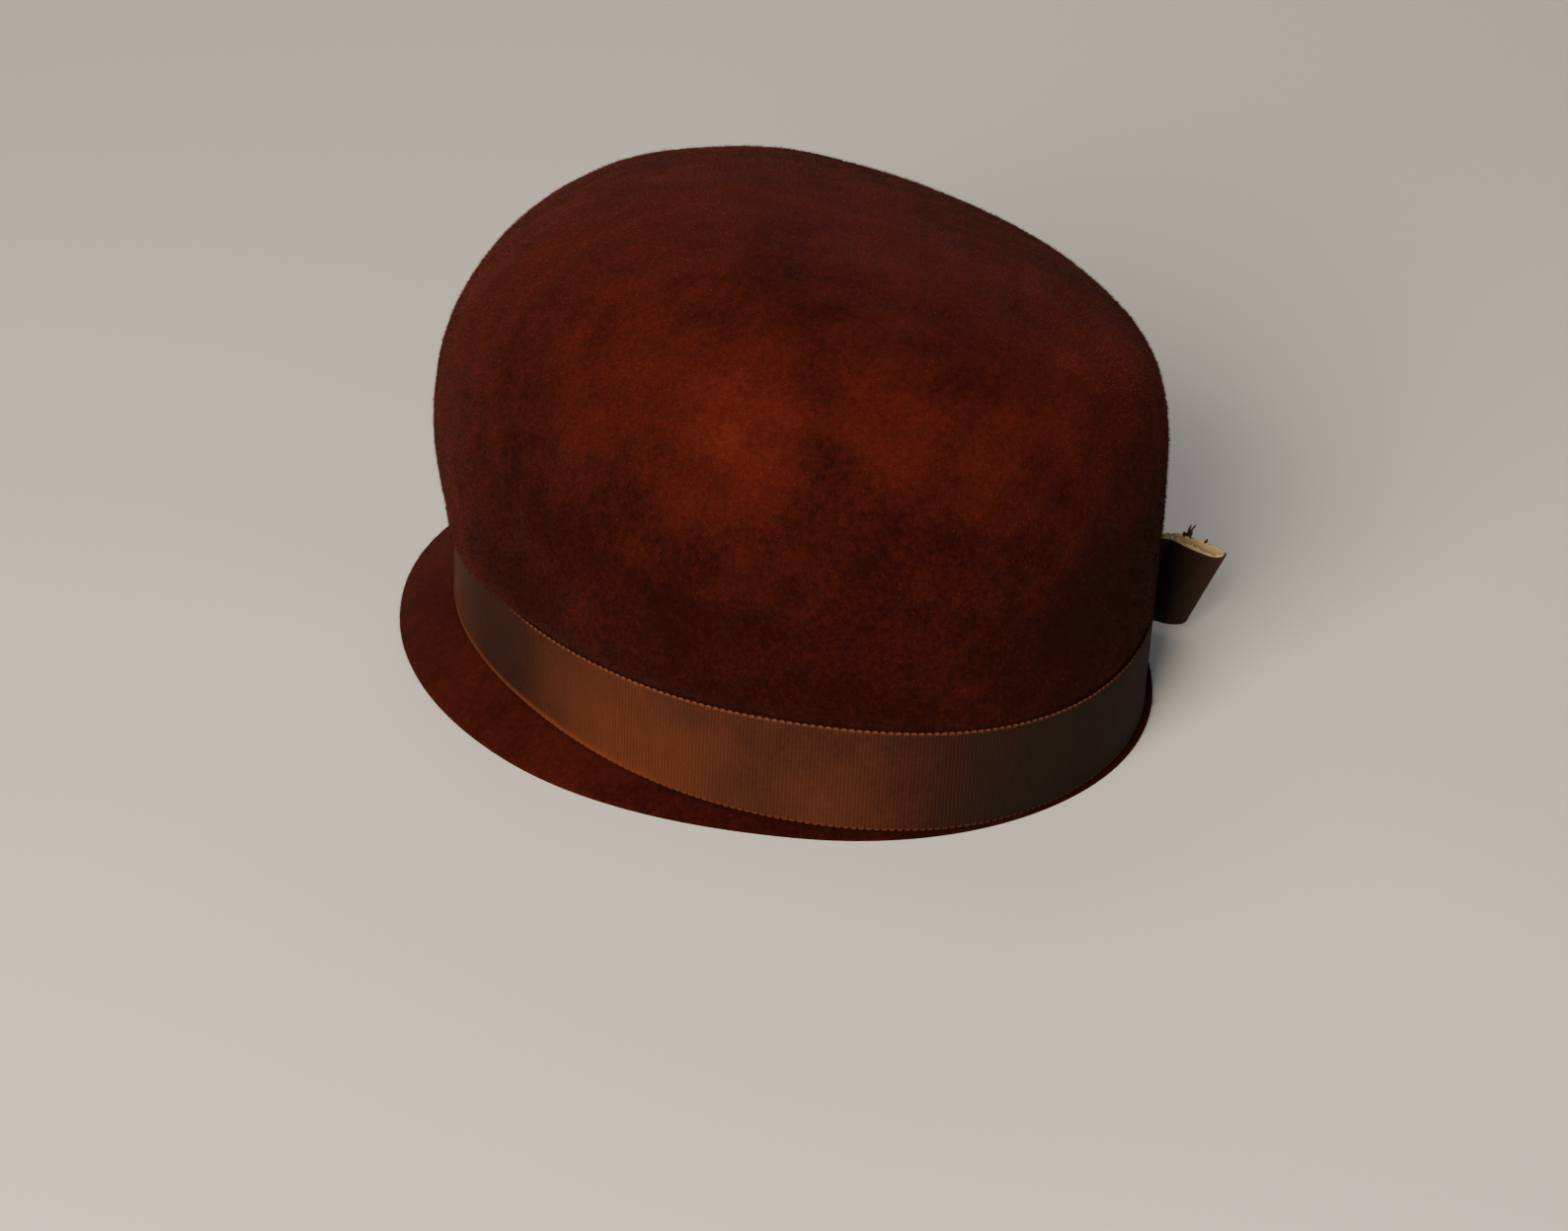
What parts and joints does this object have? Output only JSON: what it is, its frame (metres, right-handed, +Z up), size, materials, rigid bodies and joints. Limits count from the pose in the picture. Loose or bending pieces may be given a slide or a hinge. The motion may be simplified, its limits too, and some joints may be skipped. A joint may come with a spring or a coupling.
{
  "type": "cloche hat",
  "caption": "Deep-crowned felt cloche hat with a visor-like brim, a ribbon band and a stiffened ribbon bow on the wearer's right.",
  "frame": {"origin": "middle of the hat's overall base, on the surface it rests on", "axes": "-Y to the front of the hat, +X to the wearer's left, +Z up"},
  "size_m": [0.2026, 0.2268, 0.1319],
  "materials": {
    "felt": "russet brown velour felt with a soft mottled nap",
    "ribbon": "ribbed brown ribbon with fine looped edges",
    "bow_ribbon": "ribbed dark brown ribbon",
    "stiffener": "pale cream open-weave stiffening, matte"
  },
  "bodies": {
    "root": {"felt_body": "felt", "hat_band": "ribbon", "bow_loops": "bow_ribbon", "bow_knot": "bow_ribbon", "bow_stiffener_rear": "stiffener", "bow_stiffener_front": "stiffener"}
  },
  "joints": []
}
